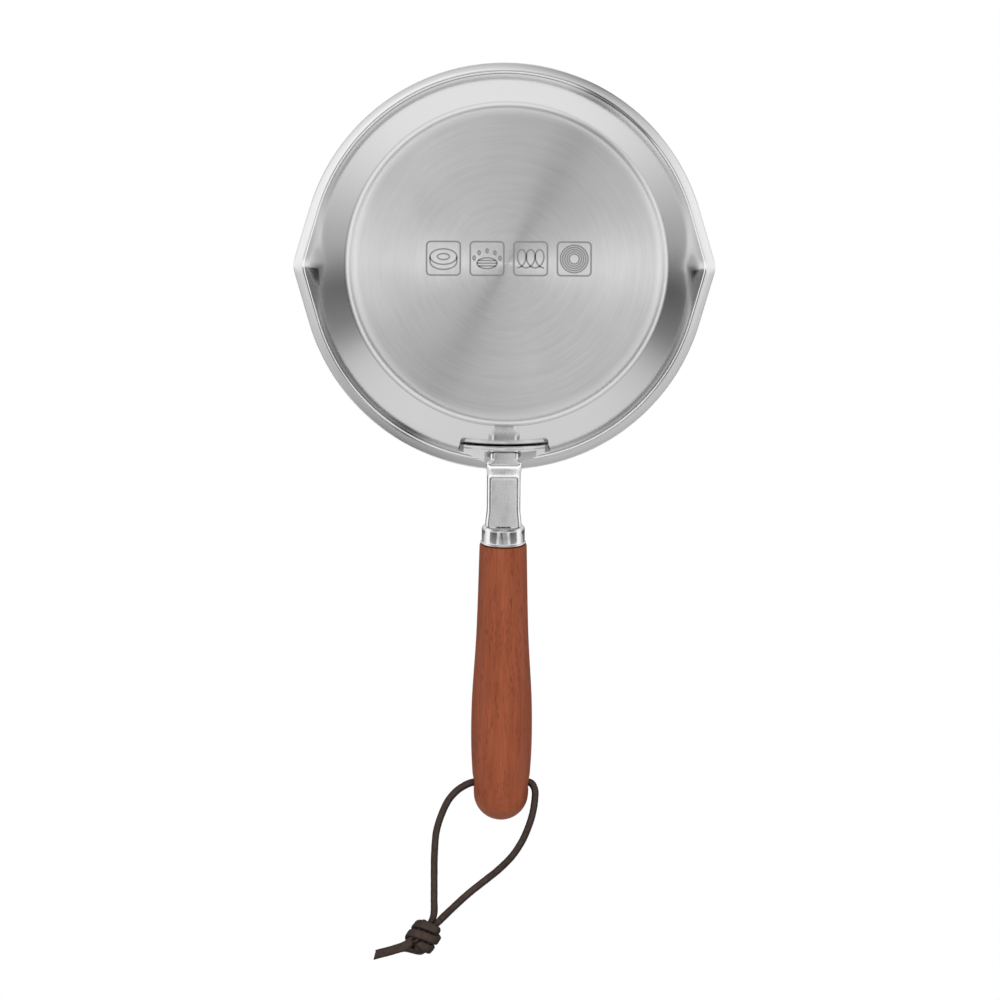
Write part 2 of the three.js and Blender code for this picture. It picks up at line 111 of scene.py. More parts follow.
def spout_swell(off_nose, growth):
    """How far a spout swells a round rim of radius 1: straight sides that meet in a rounded nose."""
    half_angle = spout_half_angle * growth
    if off_nose >= half_angle:
        return 1
    nose = spout_nose_radius / lip_radius
    nose_centre = (1 - nose) / math.cos(half_angle)
    nose_edge = math.atan2(nose * math.sin(half_angle), nose_centre + nose * math.cos(half_angle))
    if off_nose >= nose_edge:
        return 1 / math.cos(half_angle - off_nose)
    return nose_centre * math.cos(off_nose) + math.sqrt(nose**2 - (nose_centre * math.sin(off_nose)) ** 2)


def spouted(radius, even_angle, height):
    """A point of the bowl, with more of its sides near the spouts."""
    angle = even_angle - spout_crowding / 2 * math.sin(2 * even_angle)
    growth = clamp((height - spout_start_height) / (lip_underside - spout_start_height), 0, 1)
    swollen = radius * spout_swell(math.asin(abs(math.sin(angle))), growth)
    return swollen * math.cos(angle), swollen * math.sin(angle), height


def round_point(radius, angle, height):
    return radius * math.cos(angle), radius * math.sin(angle), height


def join_rings(mesh, rings):
    """Faces from each closed ring of vertices to the next."""
    count = len(rings[0])
    for ring, following in zip(rings, rings[1:]):
        for i in range(count):
            beside = (i + 1) % count
            mesh.faces.new((ring[i], ring[beside], following[beside], following[i]))


def turned(profile, sides, place=round_point):
    """A profile of (radius, height) points turned about Z; points on the axis close it."""
    mesh = bmesh.new()
    angles = [2 * math.pi * side / sides for side in range(sides)]
    rings = [[mesh.verts.new(place(radius, angle, height)) for angle in angles] for radius, height in profile]
    join_rings(mesh, rings)
    bmesh.ops.remove_doubles(mesh, verts=mesh.verts, dist=same_point)
    bmesh.ops.recalc_face_normals(mesh, faces=mesh.faces)
    return mesh


def new_piece(name, mesh, material, crease=35):
    """A smooth piece from a finished mesh, with edges sharper than the crease angle kept crisp."""
    data = bpy.data.meshes.new(name)
    mesh.to_mesh(data)
    mesh.free()
    data.materials.append(material)
    data.shade_smooth()
    data.set_sharp_from_angle(angle=math.radians(crease))
    piece = bpy.data.objects.new(name, data)
    bpy.context.scene.collection.objects.link(piece)
    return piece


def stand_in(piece, cad_node, body):
    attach(piece, body)
    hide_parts(cad_node)


def feed(tree, made, inputs):
    """Sets a node's inputs, each to a value or from another node's output."""
    for key, value in inputs.items():
        if isinstance(value, bpy.types.NodeSocket):
            tree.links.new(value, made.inputs[key])
        else:
            made.inputs[key].default_value = value


def node(tree, kind, inputs, **settings):
    made = tree.nodes.new("ShaderNode" + kind)
    for key, value in settings.items():
        setattr(made, key, value)
    feed(tree, made, inputs)
    return made


def sum_up(tree, operation, *values):
    return node(tree, "Math", dict(enumerate(values)), operation=operation).outputs[0]


def product(tree, first, second):
    return sum_up(tree, "MULTIPLY", first, second)


def vector_sum(tree, operation, *values):
    return node(tree, "VectorMath", dict(enumerate(values)), operation=operation).outputs[0]


def vector_value(tree, operation, *values):
    return node(tree, "VectorMath", dict(enumerate(values)), operation=operation).outputs["Value"]


def spread(tree, value, low, high, start=0.3, end=0.7):
    """A value between start and end, as noise mostly is, spread from low to high."""
    inputs = {"Value": value, "From Min": start, "From Max": end, "To Min": low, "To Max": high}
    return node(tree, "MapRange", inputs).outputs[0]


def blend_colour(tree, share, first, second):
    inputs = {0: share, 6: first, 7: second}
    return node(tree, "Mix", inputs, data_type="RGBA").outputs[2]


def grey(level):
    return (level, level, level, 1)


def new_material(name):
    material = bpy.data.materials.new(name)
    material.use_nodes = True
    return material, material.node_tree, material.node_tree.nodes["Principled BSDF"]


def shader_of(material):
    """A finished material's nodes, its shader and what feeds the shader's colour."""
    tree = material.node_tree
    shader = tree.nodes["Principled BSDF"]
    return tree, shader, shader.inputs["Base Color"].links[0].from_socket


def object_place(tree):
    return node(tree, "TexCoord", {}).outputs["Object"]


def surface_normal(tree):
    return node(tree, "TexCoord", {}).outputs["Normal"]


def height_of(tree, place):
    return node(tree, "SeparateXYZ", {0: place}).outputs["Z"]


def flat_place(tree):
    """A point's place without its height."""
    return vector_sum(tree, "MULTIPLY", object_place(tree), (1, 1, 0))


def noise_at(tree, place, scale=1, detail=2):
    inputs = {"Vector": place, "Scale": scale, "Detail": detail}
    return node(tree, "TexNoise", inputs).outputs["Fac"]


def ring_lines(tree, round_waves, waves_per_metre, detail):
    """Noise drawn out into lines round the Z axis, on a flat face or a wall."""
    flat = flat_place(tree)
    radius = vector_value(tree, "LENGTH", flat)
    outward = sum_up(tree, "ADD", radius, height_of(tree, object_place(tree)))
    direction = vector_sum(tree, "NORMALIZE", flat)
    along = node(tree, "VectorMath", {0: direction, "Scale": round_waves}, operation="SCALE").outputs[0]
    across = node(tree, "CombineXYZ", {"Z": product(tree, outward, waves_per_metre)}).outputs[0]
    return noise_at(tree, vector_sum(tree, "ADD", along, across), detail=detail)


def brushed_steel(name, tones, roughness, groove, drawn_out):
    """Stainless steel brushed round the Z axis; drawn_out is how far the brushing stretches a highlight."""
    material, tree, shader = new_material(name)
    half = 0.5
    wear = 0.1
    across_lines = 0.25
    fine = ring_lines(tree, round_waves=3, waves_per_metre=3600, detail=2)
    broad = ring_lines(tree, round_waves=1.5, waves_per_metre=600, detail=3)
    smudge = noise_at(tree, object_place(tree), scale=45, detail=3)
    lines = sum_up(tree, "MULTIPLY_ADD", fine, half, product(tree, broad, half))
    tone = blend_colour(tree, spread(tree, lines, 0, 1), grey(tones[0]), grey(tones[1]))
    worn = spread(tree, smudge, (1 - wear) * roughness, (1 + wear) * roughness)
    rough = sum_up(tree, "ADD", worn, spread(tree, lines, -wear * roughness, wear * roughness))
    bump = node(tree, "Bump", {"Height": lines, "Strength": 1, "Distance": groove}).outputs[0]
    tangent = node(tree, "Tangent", {}, direction_type="RADIAL", axis="Z").outputs[0]
    feed(tree, shader, {"Base Color": tone, "Metallic": 1, "Roughness": rough, "Normal": bump})
    feed(tree, shader, {"Anisotropic": drawn_out, "Anisotropic Rotation": across_lines, "Tangent": tangent})
    return material


corner_height = bowl_underside + bowl_corner_radius
corner_across = wall_radius(corner_height) - bowl_corner_radius / math.cos(wall_lean)
fold_height = lip_underside - lip_fold_radius
fold_across = wall_radius(fold_height) + lip_fold_radius / math.cos(wall_lean)
edge_radius = sheet_thickness / 2
edge_across = lip_radius - edge_radius
edge_height = pan_height - edge_radius
fold_start = math.pi - wall_lean
row_heights = [between(corner_height, fold_height, row / wall_rows) for row in range(1, wall_rows)]
inner_corner = bowl_corner_radius - sheet_thickness
inner_fold = lip_fold_radius + sheet_thickness
bowl_profile = [
    (0, bowl_underside),
    *arc(corner_across, corner_height, bowl_corner_radius, -quarter_turn, -wall_lean, corner_steps),
    *[wall_point(height, 0) for height in row_heights],
    *arc(fold_across, fold_height, lip_fold_radius, fold_start, quarter_turn, lip_steps),
    *arc(edge_across, edge_height, edge_radius, -quarter_turn, quarter_turn, lip_steps),
    *arc(fold_across, fold_height, inner_fold, quarter_turn, fold_start, lip_steps),
    *[wall_point(height, -sheet_thickness) for height in reversed(row_heights)],
    *arc(corner_across, corner_height, inner_corner, -wall_lean, -quarter_turn, corner_steps),
    (0, bowl_underside + sheet_thickness),
]
bowl_steel = brushed_steel("bowl_steel", tones=(0.75, 0.79), roughness=0.11, groove=1e-6, drawn_out=0.6)
tree, shader, clean_tone = shader_of(bowl_steel)
# Painted shade: a darker band on the outside of the wall just above the cap, where the cap's rim shades the
# seam.
seam_shade_top = cap_height + seam_reach
low_down = spread(tree, height_of(tree, object_place(tree)), 1, 0, start=seam_shade_top, end=seam_shade_top + seam_fade)
outward = vector_sum(tree, "NORMALIZE", flat_place(tree))
facing_out = vector_value(tree, "DOT_PRODUCT", surface_normal(tree), outward)
seam_painted_shade = product(tree, low_down, spread(tree, facing_out, 0, 1, start=0.3, end=0.6))
feed(tree, shader, {"Base Color": blend_colour(tree, seam_painted_shade, clean_tone, grey(seam_shade_tone))})
bowl = new_piece("bowl_shell", turned(bowl_profile, bowl_sides, spouted), bowl_steel)
stand_in(bowl, "bowl", "pan")

# Base core: a plain aluminium disc bonded under the bowl's floor to spread the heat. The steel cap closes it
# in, so its machined face only shows at the seam.
core_dark = (0.62, 0.62, 0.63, 1)
core_light = (0.72, 0.72, 0.73, 1)
core_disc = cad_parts["base_core"]
core, tree, shader = new_material("core_aluminium")
turning = ring_lines(tree, round_waves=2, waves_per_metre=1500, detail=2)
core_tone = blend_colour(tree, turning, core_dark, core_light)
feed(tree, shader, {"Base Color": core_tone, "Metallic": 1, "Roughness": spread(tree, turning, 0.4, 0.55)})
core_disc.data.materials.clear()
core_disc.data.materials.append(core)

# Base cap: a shallow dish of magnetic steel pressed over the core and bonded to it. Its face is spun, so it
# throws fans of light, and its rim closes on the foot of the wall.
cap_corner_radius = 0.003
cap_sides = 288
cap_corner_steps = 14
cap_edge_steps = 6
cap_inner_steps = 8
cap_drawn_out = 0.95
cap_corner_roughness = 0.4
# Painted highlight and shade: the cap's rounded corner is painted lighter, and its steep outer edge darker.
cap_corner_highlight_tone = 0.84
cap_steep_shade_tone = 0.68
cap_corner_across = base_radius - cap_corner_radius
cap_inner_corner = cap_corner_radius - cap_thickness
cap_edge = cap_thickness / 2
near_start = cap_corner_across - cap_corner_radius / 2
steep_start = cap_corner_across + cap_corner_radius / 3
steep_end = steep_start + cap_corner_radius / 3


def blend_value(tree, share, first, second):
    return node(tree, "Mix", {0: share, 2: first, 3: second}, data_type="FLOAT").outputs[0]


cap_profile = [
    (0, 0),
    *arc(cap_corner_across, cap_corner_radius, cap_corner_radius, -quarter_turn, 0, cap_corner_steps),
    *arc(base_radius - cap_edge, cap_height - cap_edge, cap_edge, 0, math.pi, cap_edge_steps),
    *arc(cap_corner_across, cap_corner_radius, cap_inner_corner, 0, -quarter_turn, cap_inner_steps),
    (0, cap_thickness),
]
cap_steel = brushed_steel(
    "cap_steel", tones=(0.65, 0.79), roughness=0.36, groove=8e-6, drawn_out=cap_drawn_out
)
tree, shader, spun_tone = shader_of(cap_steel)
spun = shader.inputs["Roughness"].links[0].from_socket
from_axis = vector_value(tree, "LENGTH", flat_place(tree))
on_corner = spread(tree, from_axis, 0, 1, start=cap_corner_across, end=steep_start)
corner_shine = blend_value(tree, on_corner, spun, cap_corner_roughness)
flat_drawn_out = spread(tree, on_corner, cap_drawn_out, 0, start=0, end=1)
# Painted highlight on the face just inside the corner, and painted shade on the steep edge beyond it.
near_corner = spread(tree, from_axis, 0, 1, start=near_start, end=cap_corner_across)
highlighted_tone = blend_colour(tree, near_corner, spun_tone, grey(cap_corner_highlight_tone))
on_steep = spread(tree, from_axis, 0, 1, start=steep_start, end=steep_end)
highlight_and_shade_tone = blend_colour(tree, on_steep, highlighted_tone, grey(cap_steep_shade_tone))
feed(tree, shader, {"Base Color": highlight_and_shade_tone, "Roughness": corner_shine, "Anisotropic": flat_drawn_out})
cap = new_piece("base_dish", turned(cap_profile, cap_sides), cap_steel)
stand_in(cap, "base_cap", "pan")

# Hob signs: four plain pictograms in rounded frames, for a solid plate, gas, an induction coil and a ceramic
# hob. They are etched into the face of the base, so they are thin matt lines on it.
sign_side = 0.01025
sign_pitch = 0.0133
sign_row = (-0.0005, 0.0015)
sign_corner = 0.0012
sign_line = 0.0005
fine_sign_line = 0.00046
etch_depth = 0.00002
etched_dark = 0.36
etched_light = 0.48


def ellipse(across, up, half_width, half_height, start=0, end=360, steps=48):
    """Points of an ellipse or a part of one in degrees, in shares of a sign's side from its middle."""
    return oval(across, up, half_width, half_height, math.radians(start), math.radians(end), steps)


def sign_frame():
    half = 0.5
    corner = sign_corner / sign_side
    inner = half - corner
    corners = [(inner, inner, 0), (-inner, inner, 90), (-inner, -inner, 180), (inner, -inner, 270)]
    points = []
    for across, up, start in corners:
        points += ellipse(across, up, corner, corner, start, start + 90, steps=8)
    return points + points[:1]


def solid_plate_sign():
    top_up = 0.05
    skirt_up = -0.1
    half_width = 0.4
    half_height = 0.23
    top = ellipse(0, top_up, half_width, half_height)
    dimple = ellipse(0, top_up, half_width=0.18, half_height=0.09)
    skirt = ellipse(0, skirt_up, half_width, half_height, 180, 360, steps=24)
    return [top, dimple, [(-half_width, top_up), *skirt, (half_width, top_up)]]


def gas_sign():
    burner_up = -0.14
    half_width = 0.3
    half_height = 0.16
    bar_gap = 0.08
    lines = [ellipse(0, burner_up, half_width, half_height)]
    for off in (-bar_gap, 0, bar_gap):
        half_bar = half_width * math.sqrt(1 - (off / half_height) ** 2)
        lines.append([(-half_bar, burner_up + off), (half_bar, burner_up + off)])
    flame_places = ellipse(0, -0.1, half_width=0.41, half_height=0.33, start=20, end=160, steps=4)
    for across, up in flame_places:
        lines.append(ellipse(across, up, half_width=0.032, half_height=0.06, steps=16))
    return lines


def coil_sign():
    loops = 3
    steps = 160
    half_width = 0.4
    half_height = 0.27
    swing = 0.19
    points = []
    for step in range(steps + 1):
        turn = between(-0.5, loops - 0.5, step / steps) * 2 * math.pi
        across = half_width * (turn / (loops * math.pi) - (loops - 1) / loops) - swing * math.sin(turn)
        points.append((across, half_height * math.cos(turn)))
    return [points]


def ceramic_sign():
    return [ellipse(0, 0, radius, radius) for radius in (0.41, 0.345, 0.28, 0.215, 0.15)]


def etch(mesh, points, place, width):
    """A thin flat line along points that are given in shares of a sign's side, as seen from below."""
    line = [Vector((place[0] - across * sign_side, place[1] + up * sign_side)) for across, up in points]
    closed = (line[0] - line[-1]).length < same_point
    if closed:
        line.pop()
    count = len(line)
    rows = []
    for i, point in enumerate(line):
        before = line[i - 1] if closed or i > 0 else point
        after = line[(i + 1) % count] if closed or i < count - 1 else point
        side = (after - before).orthogonal().normalized() * width / 2
        spots = [(point + side, -etch_depth), (point - side, -etch_depth)]
        spots += [(point - side, etch_depth), (point + side, etch_depth)]
        rows.append([mesh.verts.new((spot.x, spot.y, height)) for spot, height in spots])
    join_rings(mesh, rows + rows[:1] if closed else rows)
    if not closed:
        mesh.faces.new(rows[0])
        mesh.faces.new(rows[-1])


etched, tree, shader = new_material("etched_steel")
speckle = noise_at(tree, object_place(tree), scale=4000)
etched_tone = blend_colour(tree, spread(tree, speckle, 0, 1), grey(etched_dark), grey(etched_light))
feed(tree, shader, {"Base Color": etched_tone, "Metallic": 1, "Roughness": spread(tree, speckle, 0.45, 0.65)})
hob_signs = [
    ("sign_solid_plate", solid_plate_sign()),
    ("sign_gas", gas_sign()),
    ("sign_coil", coil_sign()),
    ("sign_ceramic", ceramic_sign()),
]
for position, (sign_name, sign_lines) in enumerate(hob_signs):
    from_middle = position - (len(hob_signs) - 1) / 2
    sign_place = (sign_row[0] - from_middle * sign_pitch, sign_row[1])
    sign_mesh = bmesh.new()
    etch(sign_mesh, sign_frame(), sign_place, sign_line)
    for sign_points in sign_lines:
        etch(sign_mesh, sign_points, sign_place, fine_sign_line)
    bmesh.ops.recalc_face_normals(sign_mesh, faces=sign_mesh.faces)
    sign = new_piece(sign_name, sign_mesh, etched)
    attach(sign, "pan")

# Saddle plate: a strip of thicker stainless sheet bent to the wall and spot-welded under the lip, so that the
# arm pulls on a wide patch of the thin bowl. It is polished, with its cut edges rounded over.
plate_width = 0.0285
plate_height = 0.0135
plate_end_height = 0.005
plate_top_width = 0.012
plate_shoulder_width = 0.021
plate_thickness = 0.0015
plate_corner_radius = 0.0018
plate_foot_bow = 0.0032
plate_below_lip = 0.0024
plate_edge_radius = 0.0003
plate_steps = 60
plate_edge_steps = 4
least_edge_radius = 1e-5
# Painted shade: the plate's face beside the arm, and the foot of its two ends, are painted darker.
shade_reach_left = 0.0059
shade_reach_right = 0.0098
shade_fade = 0.0004
shade_share = 0.6
end_shade_share = 0.9
painted_shade_tone = 0.1
plate_foot_height = lip_underside - plate_below_lip - plate_height
plate_end_foot = plate_foot_height + plate_foot_bow


def sagitta(radius, into):
    """How far a round corner of this radius has dropped, this far into it."""
    return radius - math.sqrt(max(radius**2 - clamp(into, 0, radius) ** 2, 0))


def rounded_box(low, high, radius, steps):
    """Outline of a rectangle with rounded corners, from its low corner to its high one."""
    inner_low = (low[0] + radius, low[1] + radius)
    inner_high = (high[0] - radius, high[1] - radius)
    return [
        *arc(inner_high[0], inner_low[1], radius, -quarter_turn, 0, steps),
        *arc(inner_high[0], inner_high[1], radius, 0, quarter_turn, steps),
        *arc(inner_low[0], inner_high[1], radius, quarter_turn, math.pi, steps),
        *arc(inner_low[0], inner_low[1], radius, math.pi, 3 * quarter_turn, steps),
    ]


def lofted(rings):
    """A closed body through rings of matching points."""
    mesh = bmesh.new()
    rows = [[mesh.verts.new(point) for point in ring] for ring in rings]
    join_rings(mesh, rows)
    mesh.faces.new(rows[0])
    mesh.faces.new(rows[-1])
    bmesh.ops.recalc_face_normals(mesh, faces=mesh.faces)
    return mesh


def polished_steel(name, tone, roughness, streak_scale, streak_depth):
    """Polished stainless steel with faint streaks; streak_scale is their waves per metre on each axis."""
    material, tree, shader = new_material(name)
    tone_below = 0.03
    tone_above = 0.02
    smudged = 0.3
    streaked = 0.02
    streaks = noise_at(tree, vector_sum(tree, "MULTIPLY", object_place(tree), streak_scale), detail=3)
    smudge = noise_at(tree, object_place(tree), scale=140, detail=3)
    colour = blend_colour(tree, spread(tree, streaks, 0, 1), grey(tone - tone_below), grey(tone + tone_above))
    worn = spread(tree, smudge, (1 - smudged) * roughness, (1 + smudged) * roughness)
    rough = sum_up(tree, "ADD", worn, spread(tree, streaks, -streaked, streaked))
    bump = node(tree, "Bump", {"Height": streaks, "Strength": 1, "Distance": streak_depth}).outputs[0]
    feed(tree, shader, {"Base Color": colour, "Metallic": 1, "Roughness": rough, "Normal": bump})
    return material


plate_rings = []
plate_half = plate_width / 2
plate_middle_radius = wall_radius(plate_foot_height + plate_height / 2)
for step in range(-plate_steps, plate_steps + 1):
    across = plate_half * math.sin(quarter_turn * step / plate_steps)
    corner_trim = sagitta(plate_corner_radius, abs(across) - (plate_half - plate_corner_radius))
    edge_trim = sagitta(plate_edge_radius, abs(across) - (plate_half - plate_edge_radius))
    foot = plate_foot_height + plate_foot_bow * (across / plate_half) ** 2 + corner_trim
    down_slope = clamp((2 * abs(across) - plate_top_width) / (plate_shoulder_width - plate_top_width), 0, 1)
    middle_top = plate_foot_height + plate_height
    top = between(middle_top, plate_end_foot + plate_end_height, down_slope) - corner_trim
    section_low = (seat_gap + edge_trim, foot)
    section_high = (seat_gap + plate_thickness - edge_trim, top)
    section_corner = max(plate_edge_radius - edge_trim, least_edge_radius)
    outline = rounded_box(section_low, section_high, section_corner, plate_edge_steps)
    section = [wall_point(up, off) for off, up in outline]
    angle = across / plate_middle_radius - quarter_turn
    plate_rings.append([round_point(radius, angle, height) for radius, height in section])
bracket_steel = polished_steel(
    "bracket_steel", tone=0.78, roughness=0.16, streak_scale=(900, 900, 2600), streak_depth=1.5e-6
)
tree, shader, clean_tone = shader_of(bracket_steel)
# Painted shade: a dark patch on the plate beside the arm, where the arm shades it, and dark lower ends where
# the wall shades them.
plate_spot = node(tree, "SeparateXYZ", {0: object_place(tree)}).outputs
shade_right = spread(tree, plate_spot["X"], 0, 1, start=-shade_reach_right - shade_fade, end=-shade_reach_right)
shade_left = spread(tree, plate_spot["X"], 1, 0, start=shade_reach_left, end=shade_reach_left + shade_fade)
shade_foot = plate_foot_height + plate_foot_bow / 2
shade_up = spread(tree, plate_spot["Z"], 0, 1, start=shade_foot, end=shade_foot + shade_fade)
arm_painted_shade = product(tree, shade_up, product(tree, shade_left, shade_right))
cut_start = plate_half - plate_corner_radius
off_middle = sum_up(tree, "ABSOLUTE", plate_spot["X"])
at_end = spread(tree, off_middle, 0, 1, start=cut_start, end=cut_start + shade_fade)
dark_top = plate_end_foot + plate_end_height / 2
end_foot = spread(tree, plate_spot["Z"], 1, 0, start=dark_top, end=dark_top + shade_fade)
shaded_beside_arm = product(tree, arm_painted_shade, shade_share)
painted_end_shade = product(tree, product(tree, end_foot, at_end), end_shade_share)
plate_painted_shade = sum_up(tree, "MAXIMUM", shaded_beside_arm, painted_end_shade)
feed(tree, shader, {"Base Color": blend_colour(tree, plate_painted_shade, clean_tone, grey(painted_shade_tone))})
plate = new_piece("saddle_plate", lofted(plate_rings), bracket_steel)
stand_in(plate, "bracket_plate", "pan")

# Arm: a channel pressed from stainless strip, open at the top, stepped down under the lip and trimmed to the
# plate that it is welded to. It flares at its other end and butts against the ferrule.
arm_thickness = 0.0012
arm_corner_radius = 0.0016
arm_above_plate_foot = 0.0013
arm_root_width = 0.0088
arm_root_depth = 0.009
arm_neck_rise = math.radians(8)
arm_neck_length = 0.0032
arm_step_length = 0.0048
arm_shoulder_width = 0.0112
arm_shoulder_flare = 0.0016
arm_waist_width = 0.0104
arm_end_flare = 0.0052
arm_end_width = 0.0113
arm_end_depth = 0.005
arm_edge_radius = 0.00025
arm_rings_each = 24
arm_corner_steps = 8
arm_edge_steps = 3
arm_inner_steps = 5
handle_rise = math.radians(11)
ferrule_beyond_lip = 0.0173
handle_front_drop = 0.0036
ferrule_distance = lip_radius + ferrule_beyond_lip
handle_front_height = pan_height - handle_front_drop
tang_radius = 0.0025
arm_root_height = plate_foot_height + arm_above_plate_foot
arm_drop = (tang_radius + seat_gap + arm_thickness) / math.cos(handle_rise)


def smoothstep(value, start, end):
    share = clamp((value - start) / (end - start), 0, 1)
    return share * share * (3 - 2 * share)


def arm_seat_radius(height):
    """Radius at which the arm meets the plate."""
    return wall_radius(height) + (seat_gap + plate_thickness + seat_gap) / math.cos(wall_lean)


def channel_outline(width, depth):
    """Outline of a channel open at the top, with its underside at height 0."""
    corner = width / 2 - arm_corner_radius
    inner = arm_corner_radius - arm_thickness
    outer_lip = width / 2 - arm_edge_radius
    inner_lip = width / 2 - arm_thickness + arm_edge_radius
    lip_height = depth - arm_edge_radius
    half_right = [
        *arc(corner, arm_corner_radius, arm_corner_radius, -quarter_turn, 0, arm_corner_steps),
        *arc(outer_lip, lip_height, arm_edge_radius, 0, quarter_turn, arm_edge_steps),
        *arc(inner_lip, lip_height, arm_edge_radius, quarter_turn, math.pi, arm_edge_steps),
        *arc(corner, arm_corner_radius, inner, 0, -quarter_turn, arm_inner_steps),
    ]
    half_left = [(-across, up) for across, up in reversed(half_right)]
    return half_right + half_left


root_distance = arm_seat_radius(arm_root_height)
step_start = root_distance + arm_neck_length
step_end = step_start + arm_step_length
seat_distance = ferrule_distance - seat_gap * math.cos(handle_rise)
arm_end_distance = seat_distance + arm_drop * math.sin(handle_rise) * math.cos(handle_rise)
arm_stretches = [(root_distance, step_start), (step_start, step_end), (step_end, arm_end_distance)]
arm_distances = [root_distance]
for start, end in arm_stretches:
    arm_distances += [between(start, end, (ring + 1) / arm_rings_each) for ring in range(arm_rings_each)]
arm_rings = []
for distance in arm_distances:
    over_step = smoothstep(distance, step_start, step_end)
    into_flare = smoothstep(distance, arm_end_distance - arm_end_flare, arm_end_distance)
    to_shoulder = smoothstep(distance, step_start - arm_shoulder_flare, step_start)
    neck_height = arm_root_height + (distance - root_distance) * math.tan(arm_neck_rise)
    line_height = handle_front_height + (distance - ferrule_distance) * math.tan(handle_rise)
    underside = between(neck_height, line_height - arm_drop, over_step)
    neck_width = between(arm_root_width, arm_shoulder_width, to_shoulder)
    width = between(between(neck_width, arm_waist_width, over_step), arm_end_width, into_flare)
    share = (distance - root_distance) / (arm_end_distance - root_distance)
    depth = between(arm_root_depth, arm_end_depth, math.sqrt(share))
    slant = -math.tan(handle_rise) * over_step
    root_hold = 1 - smoothstep(distance, root_distance, step_start)
    ring = []
    for across, up in channel_outline(width, depth):
        height = underside + up
        seat_shift = math.sqrt(arm_seat_radius(height) ** 2 - across**2) - root_distance
        ring.append((across, -(distance + slant * up + root_hold * seat_shift), height))
    arm_rings.append(ring)
arm_steel = polished_steel(
    "arm_steel", tone=0.84, roughness=0.25, streak_scale=(2600, 300, 900), streak_depth=1e-6
)
arm = new_piece("pressed_arm", lofted(arm_rings), arm_steel)
stand_in(arm, "arm", "pan")

# Tang: a drawn steel rod welded into the trough of the arm, which passes through the ferrule and is driven
# into the bored handle. Only its front end shows, from above.
tang_in_trough = 0.013
tang_in_handle = 0.052
tang_chamfer = tang_radius / 2
tang_sides = 48
handle_place = (
    Matrix.Translation((0, -ferrule_distance, handle_front_height))
    @ Matrix.Rotation(quarter_turn - handle_rise, 4, "X")
)
tang_profile = [
    (0, -tang_in_trough),
    (tang_radius - tang_chamfer, -tang_in_trough),
    (tang_radius, tang_chamfer - tang_in_trough),
    (tang_radius, tang_in_handle - tang_chamfer),
    (tang_radius - tang_chamfer, tang_in_handle),
    (0, tang_in_handle),
]
tang_steel = polished_steel(
    "tang_steel", tone=0.72, roughness=0.3, streak_scale=(3000, 3000, 200), streak_depth=3e-6
)
tang = new_piece("tang", turned(tang_profile, tang_sides), tang_steel)
tang.matrix_world = handle_place
stand_in(tang, "tang_rod", "pan")

# Ferrule: a cap deep-drawn from thin stainless sheet and mirror polished. It holds the front of the wood
# together and ends in a small rolled bead against the shoulder of the grip.
ferrule_length = 0.0057
ferrule_radius = 0.00675
ferrule_shoulder_radius = 0.0012
ferrule_thickness = 0.0006
ferrule_bead_radius = 0.00715
ferrule_bead_length = 0.0006
ferrule_sides = 128
ferrule_bead_steps = 10
ferrule_shoulder_steps = 12
ferrule_inner = ferrule_radius - ferrule_thickness
shoulder_across = ferrule_radius - ferrule_shoulder_radius
tang_hole = tang_radius + seat_gap
bead_half = ferrule_bead_length / 2
bead_across = ferrule_bead_radius - bead_half
bead_middle = ferrule_length - bead_half
ferrule_profile = [
    (ferrule_inner, ferrule_length),
    *arc(bead_across, bead_middle, bead_half, quarter_turn, -quarter_turn, ferrule_bead_steps),
    (ferrule_radius, ferrule_length - ferrule_bead_length - bead_half),
    *arc(shoulder_across, ferrule_shoulder_radius, ferrule_shoulder_radius, 0, -quarter_turn,
         ferrule_shoulder_steps),
    (tang_hole, 0),
    (tang_hole, ferrule_thickness),
    (shoulder_across, ferrule_thickness),
    (ferrule_inner, ferrule_shoulder_radius),
    (ferrule_inner, ferrule_length),
]
ferrule_polished = polished_steel(
    "ferrule_polished", tone=0.68, roughness=0.09, streak_scale=(400, 400, 3000), streak_depth=1e-6
)
ferrule = new_piece("ferrule_cap", turned(ferrule_profile, ferrule_sides), ferrule_polished)
ferrule.matrix_world = handle_place
stand_in(ferrule, "ferrule", "pan")

# Grip: turned from a straight-grained reddish hardwood, sanded and oiled, slim behind the ferrule and full
# towards its rounded end. It is bored for the tang and drilled across for the hanging lace.
grip_length = 0.0895
grip_front_radius = 0.0074
grip_swell_radius = 0.0082
grip_swell_place = 0.029
grip_belly_radius = 0.0095
grip_belly_start = 0.052
grip_belly_end = 0.067
grip_end_radius = 0.0086
grip_end_length = 0.0086
grip_shoulder_round = 0.0004
hole_radius = 0.002
hole_mouth_radius = 0.0026
hole_mouth_depth = 0.0008
hole_from_end = 0.0121
grip_sides = 160
grip_contour_steps = 16
grip_end_steps = 20
grip_shoulder_steps = 5
drill_sides = 48
drill_reach = 2 * grip_belly_radius
grip_start = ferrule_length + seat_gap
grip_end = grip_start + grip_length
grip_end_start = grip_end - grip_end_length
hole_distance = grip_end - hole_from_end


